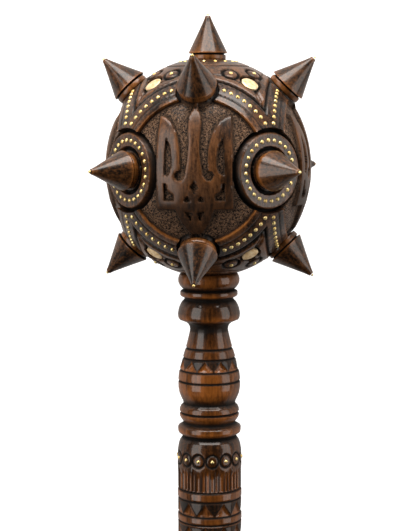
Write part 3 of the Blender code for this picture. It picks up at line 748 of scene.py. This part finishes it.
def cut_flutes(s, turn, carved):
    """Gouge cuts side by side, a little uneven, each deepening downwards from its own start."""
    share = np.clip((s - FLUTE_TOP) / (FLUTE_FOOT - FLUTE_TOP), 0, 1)
    wander = 0.35 * np.sin(turn * 9 + 1.3) + 0.25 * np.sin(turn * 17)
    gouge = 1 - np.abs(np.sin(turn * FLUTES / 2 + wander))
    start = 0.22 + 0.2 * np.sin(np.floor(turn * FLUTES / (2 * math.pi)) * 2.4)
    deepen = step(share, start * 0.4, start * 0.4 + 0.35)
    here = {"depth": (0.15 + 0.85 * (1 - gouge) ** 1.2) * deepen,
            "worn": 0.15 + 0.85 * np.abs(1 - 2 * gouge) ** 2 * deepen,
            "sunk": np.clip(1.5 * gouge**2.2, 0, 1) * deepen}
    for name, values in here.items():
        carved[name] = np.where((s > FLUTE_TOP) & (s < FLUTE_FOOT + 0.4), values, carved[name])


def cut_rosettes(s, turn, carved):
    """A row of round bosses, each in a ring groove; q is the distance from the nearest one's middle."""
    gap = (turn * ROSETTES / (2 * math.pi)) % 1 - 0.5
    q = np.hypot(gap * 2 * math.pi * CYLINDER_R / ROSETTES, s - ROSETTE_S)
    cut = notch(q, ROSETTE_R, 1.9)
    row = np.abs(s - ROSETTE_S) < 5
    outside = q > ROSETTE_R
    carved["depth"] = np.where(row, np.maximum(carved["depth"] * outside, 0.8 * cut), carved["depth"])
    # the ring groove round each rosette is painted near black: staining and painted shade in the cut
    dark = np.maximum(carved["sunk"] * outside, np.clip(1.6 * cut, 0, 1))
    carved["sunk"] = np.where(row, dark, carved["sunk"])
    carved["worn"] = np.where(row & (q < ROSETTE_R - 0.5), 0.2, carved["worn"])


def handle(finish):
    """A tube whose radius is the turned outline less the carving, worked out from the turn and the depth."""
    around = np.linspace(0, 2 * math.pi, AROUND, endpoint=False)
    s, turn = np.meshgrid(handle_rows(), around, indexing="ij")
    carved = {"depth": np.zeros_like(s), "worn": np.interp(s, *np.array(WARM).T),
              "sunk": np.interp(s, *np.array(HOLLOW_STAIN_AND_SHADE).T)}
    cut_rings(s, carved)
    cut_teeth(s, turn, carved)
    cut_flutes(s, turn, carved)
    cut_rosettes(s, turn, carved)
    points, quads, index = turned_grid(around, -s, turned_radius(s) - carved["depth"])
    marks = {"sunk": carved["sunk"].reshape(-1), "worn": np.clip(carved["worn"], 0, 1).reshape(-1),
             "punched": np.zeros(s.size)}
    points, faces = capped(points, quads, index)
    marks = {name: np.append(values, (0.5, 0.5)) for name, values in marks.items()}
    marks["grain"] = points * MM + (0.4, 0, 0)
    return made_mesh("turned_handle", points, faces, marks, finish, ["handle"])


def handle_studs():
    """Feet and outward steps of the stud in each rosette."""
    turns = (np.arange(ROSETTES) + 0.5) * 2 * math.pi / ROSETTES
    outs = np.stack([np.sin(turns), -np.cos(turns), np.zeros(ROSETTES)], axis=1)
    return outs * CYLINDER_R - (0, 0, ROSETTE_S), outs


# ---- Materials ----

def linear(colour):
    """An sRGB hex colour as linear RGBA."""
    parts = [int(colour[k:k + 2], 16) / 255 for k in (1, 3, 5)]
    return (*(c / 12.92 if c <= 0.04045 else ((c + 0.055) / 1.055) ** 2.4 for c in parts), 1.0)


def material(name):
    """A material, its node tree, its shader, and a function that adds a node to it."""
    made = bpy.data.materials.new(name)
    made.use_nodes = True
    tree = made.node_tree
    shader = tree.nodes["Principled BSDF"]

    def add(kind, settings=None, **links):
        """A node with its settings, and its inputs, by name or _number, set to values or linked."""
        node = tree.nodes.new("ShaderNode" + kind)
        for key, value in (settings or {}).items():
            setattr(node, key, value)
        for key, value in links.items():
            socket = node.inputs[int(key[1:]) if key[0] == "_" else key.replace("_", " ")]
            if isinstance(value, bpy.types.NodeSocket):
                tree.links.new(value, socket)
            else:
                socket.default_value = value
        return node

    return made, tree, shader, add


# near black for cuts, hollows and joins: thick staining there and painted shade
GROOVE_STAIN_AND_SHADE = "#010100"
# tan of the punched ground: partly its wood colour, partly a painted highlight on the ridges between punches
PUNCHED_TAN_AND_HIGHLIGHT = "#7f634d"


def stained_wood(name, dark, mid, warm, amount, bias, roughness, varnish):
    """Lime or beech, turned and carved, stained dark and varnished: the cuts, hollows and joins are painted
    nearly black, as thick staining and painted shade, the staining is rubbed thin on edges, pores show as
    fine streaks along the grain, and the varnish gives a clear sheen over it."""
    made, tree, shader, add = material(name)

    def field(label):
        return add("Attribute", {"attribute_name": label}).outputs

    def math_of(operation, a, b=0.0, clamp=False):
        return add("Math", {"operation": operation, "use_clamp": clamp}, _0=a, _1=b).outputs[0]

    def blend(share, a, b):
        return add("Mix", {"data_type": "RGBA"}, _0=share, _6=a, _7=b).outputs[2]

    grain = field("grain")["Vector"]
    sunk = field("sunk")["Fac"]
    worn = field("worn")["Fac"]
    punched = field("punched")["Fac"]
    # cloudy stain about 14 mm across, drawn out along the grain
    along = add("Mapping", Vector=grain, Scale=(1, 1, 0.35)).outputs[0]
    cloud = add("TexNoise", Vector=along, Scale=75.0, Detail=4.0, Roughness=0.6).outputs[0]
    # pores and streaks 0.5 mm wide and several long
    thin = add("Mapping", Vector=grain, Scale=(1, 1, 0.08)).outputs[0]
    streak = add("TexNoise", Vector=thin, Scale=620.0, Detail=4.0, Roughness=0.75).outputs[0]
    fleck = add("TexNoise", Vector=grain, Scale=760.0, Detail=2.0, Roughness=0.7).outputs[0]
    tone = math_of("ADD", math_of("MULTIPLY", cloud, 2.2), math_of("MULTIPLY", streak, 3.0))
    tone = math_of("ADD", tone, math_of("MULTIPLY", fleck, 2.2))
    tone = math_of("SUBTRACT", tone, bias, True)
    colour = blend(tone, linear(dark), linear(mid))
    patchy = math_of("ADD", math_of("MULTIPLY", cloud, 2.6), math_of("MULTIPLY", streak, 2.0))
    patchy = math_of("SUBTRACT", patchy, 1.55)
    rubbed = math_of("MULTIPLY", worn, patchy, True)
    colour = blend(math_of("MULTIPLY", rubbed, amount, True), colour, linear(warm))
    # punched ground: short crooked dents about 0.7 mm apart; their bottoms are painted dark, staining and
    # painted shade in the pits, and the tan between them is partly a painted highlight on the ridges
    crooked = add("TexNoise", Vector=grain, Scale=1450.0, Detail=1.0, Roughness=0.5, Distortion=1.0)
    crooked = crooked.outputs[0]
    dents = math_of("MULTIPLY", math_of("SUBTRACT", crooked, 0.42), 6.0, True)
    bottom = math_of("MULTIPLY", math_of("SUBTRACT", 1.0, dents, True), punched)
    colour = blend(math_of("MULTIPLY", punched, 0.9), colour, linear(PUNCHED_TAN_AND_HIGHLIGHT))
    colour = blend(math_of("MULTIPLY", bottom, 1.0, True), colour, linear(GROOVE_STAIN_AND_SHADE))
    # the marked cuts, hollows and joins are painted near black here: thick staining and painted shade
    shaded = math_of("ADD", sunk, math_of("MULTIPLY", math_of("SUBTRACT", fleck, 0.5), 0.5), True)
    shaded = math_of("MULTIPLY", shaded, math_of("GREATER_THAN", sunk, 0.02))
    colour = blend(shaded, colour, linear(GROOVE_STAIN_AND_SHADE))
    tree.links.new(colour, shader.inputs["Base Color"])
    rough = math_of("ADD", roughness, math_of("MULTIPLY", math_of("SUBTRACT", streak, 0.5), 0.25))
    rough = math_of("ADD", rough, math_of("MULTIPLY", sunk, 0.4), True)
    tree.links.new(rough, shader.inputs["Roughness"])
    shader.inputs["Specular IOR Level"].default_value = 0.18
    bare = math_of("ADD", sunk, math_of("MULTIPLY", punched, 0.85), True)
    tree.links.new(math_of("MULTIPLY", math_of("SUBTRACT", 1.0, bare), 0.58), shader.inputs["Coat Weight"])
    shader.inputs["Coat Roughness"].default_value = varnish
    shader.inputs["Coat IOR"].default_value = 1.5
    punches = math_of("MULTIPLY", math_of("MULTIPLY", dents, punched), 0.8)
    height = math_of("ADD", math_of("MULTIPLY", streak, 0.10), punches)
    bump = add("Bump", Height=height, Strength=0.8, Distance=0.0009)
    tree.links.new(bump.outputs[0], shader.inputs["Normal"])
    return made


def pressed_brass(name, tarnished, bright, rough, smooth, metal):
    """Brass, pressed and polished: pale yellow metal with a faint tarnish in spots."""
    made, tree, shader, add = material(name)
    where = add("TexCoord").outputs["Object"]
    spots = add("TexNoise", Vector=where, Scale=420.0, Detail=3.0).outputs[0]
    ramp = add("ValToRGB", Fac=spots)
    ramp.color_ramp.elements[0].position, ramp.color_ramp.elements[1].position = 0.30, 0.62
    ramp.color_ramp.elements[0].color = linear(tarnished)
    ramp.color_ramp.elements[1].color = linear(bright)
    tree.links.new(ramp.outputs[0], shader.inputs["Base Color"])
    shader.inputs["Metallic"].default_value = metal
    level = add("MapRange", Value=spots)
    level.inputs[3].default_value, level.inputs[4].default_value = rough, smooth
    tree.links.new(level.outputs[0], shader.inputs["Roughness"])
    bump = add("Bump", Height=spots, Strength=0.15, Distance=0.0003)
    tree.links.new(bump.outputs[0], shader.inputs["Normal"])
    return made


# ---- Table, light and camera ----

def table():
    """A white laminate table. It glows, so that it stays white, but throws little of that on the mace."""
    made, tree, shader, add = material("matt_white_laminate")
    shader.inputs["Base Color"].default_value = linear("#b0b0b0")
    shader.inputs["Roughness"].default_value = 0.9
    shader.inputs["Specular IOR Level"].default_value = 0.1
    shader.inputs["Emission Color"].default_value = (1, 1, 1, 1)
    seen = add("LightPath").outputs["Is Camera Ray"]
    glow = add("MapRange", Value=seen)
    glow.inputs[3].default_value, glow.inputs[4].default_value = 0.06, 0.92
    tree.links.new(glow.outputs[0], shader.inputs["Emission Strength"])
    reach = 9.0
    mesh = bpy.data.meshes.new("white_table")
    corners = [(x * reach, y * reach, -0.0002) for x, y in ((-1, -1), (1, -1), (1, 1), (-1, 1))]
    mesh.from_pydata(corners, [], [(0, 1, 2, 3)])
    mesh.materials.append(made)
    floor = bpy.data.objects.new("white_table", mesh)
    bpy.context.scene.collection.objects.link(floor)


def standing(origin, right, up, back):
    """The matrix that puts x, y and z along right, up and back, at origin."""
    turn = Matrix(np.stack([right, up, back], axis=1).tolist()).to_4x4()
    turn.translation = Vector(origin)
    return turn


def panel(name, target, out, distance, size, power, above):
    """A soft box: a rectangle of light that faces the target from out, its long side towards above."""
    light = bpy.data.lights.new(name, "AREA")
    light.shape = "RECTANGLE"
    light.size, light.size_y = size
    light.energy = power
    light.color = (1.0, 0.93, 0.87)
    made = bpy.data.objects.new(name, light)
    bpy.context.scene.collection.objects.link(made)
    right = unit(np.cross(above, out))
    made.matrix_world = standing(target + distance * out, right, np.cross(out, right), out)


ABOVE = unit(np.array((0, 0, 1.0)) - AXIS[2] * AXIS)  # square to the mace, upwards
LEFT = np.array((0, 1.0, 0))  # to the camera's left


def lights():
    """Two long soft boxes beside the mace, one beyond its head, and a faint room all round."""
    middle = CENTRE - 0.05 * AXIS

    def towards(left, head):
        left, head = math.radians(left), math.radians(head)
        beside = math.cos(left) * ABOVE + math.sin(left) * LEFT
        return unit(math.cos(head) * beside + math.sin(head) * AXIS)

    panel("soft_box_left", middle, towards(50, 5), 1.1, (0.72, 1.3), 11.0, AXIS)
    panel("soft_box_right", middle, towards(-66, 5), 1.1, (0.66, 1.3), 7.6, AXIS)
    panel("soft_box_head", middle, towards(0, 70), 1.2, (1.5, 0.7), 30.0, ABOVE)
    world = bpy.data.worlds.new("pale_room")
    world.use_nodes = True
    nodes, links = world.node_tree.nodes, world.node_tree.links
    sky = nodes["Background"]
    sky.inputs[0].default_value = (1, 1, 1, 1)
    sky.inputs[1].default_value = 0.012
    white = nodes.new("ShaderNodeBackground")
    white.inputs[1].default_value = 1.0
    white.inputs[0].default_value = (1, 1, 1, 1)
    seen = nodes.new("ShaderNodeLightPath")
    mix = nodes.new("ShaderNodeMixShader")
    links.new(seen.outputs["Is Camera Ray"], mix.inputs[0])
    links.new(sky.outputs[0], mix.inputs[1])
    links.new(white.outputs[0], mix.inputs[2])
    links.new(mix.outputs[0], nodes["World Output"].inputs[0])
    bpy.context.scene.world = world
    bpy.context.scene.view_settings.view_transform = "Standard"


def camera():
    """The camera looks down on the lying mace from square to its axis, a little towards the head."""
    high, pitch, roll = math.radians(2.4), math.radians(6.125), math.radians(0.22)
    aside = math.radians(0.046)  # the ball stands a little left of the middle
    distance = 0.829
    origin = CENTRE + distance * (math.cos(high) * ABOVE + math.sin(high) * AXIS)
    look = -math.cos(pitch) * ABOVE - math.sin(pitch) * AXIS
    up = math.cos(pitch) * AXIS - math.sin(pitch) * ABOVE
    right = np.cross(look, up)
    look = unit(look + math.tan(aside) * right)
    up = unit(up - (up @ look) * look)
    right = np.cross(look, up)
    up = math.cos(roll) * up + math.sin(roll) * right
    right = np.cross(look, up)
    data = bpy.data.cameras.new("camera")
    data.lens = 101.97
    data.sensor_width = 36.0
    data.clip_end = 50.0
    made = bpy.data.objects.new("camera", data)
    made.matrix_world = standing(origin, right, up, -look)
    bpy.context.scene.collection.objects.link(made)
    bpy.context.scene.camera = made


head_wood = stained_wood("dark_stained_varnished_limewood", "#100905", "#5e3f29", "#8a5523",
                         amount=0.75, bias=3.38, roughness=0.36, varnish=0.19)
handle_wood = stained_wood("warm_stained_varnished_limewood", "#0b0502", "#462a12", "#8c5220",
                           amount=1.0, bias=3.38, roughness=0.34, varnish=0.08)
spike_wood = stained_wood("brown_stained_varnished_limewood", "#0f0804", "#56371e", "#8e5827",
                          amount=0.9, bias=3.28, roughness=0.38, varnish=0.17)
stud_brass = pressed_brass("polished_brass_pressed_studs", "#cfa95c", "#fdeaa8", 0.42, 0.30, 1.0)
disc_brass = pressed_brass("worn_brass_pressed_discs", "#dcb478", "#ffe9c0", 0.55, 0.42, 0.7)

table()
lights()
camera()
head(head_wood)
spikes(spike_wood, stud_brass)
discs(disc_brass)
studs(stud_brass)
handle(handle_wood)
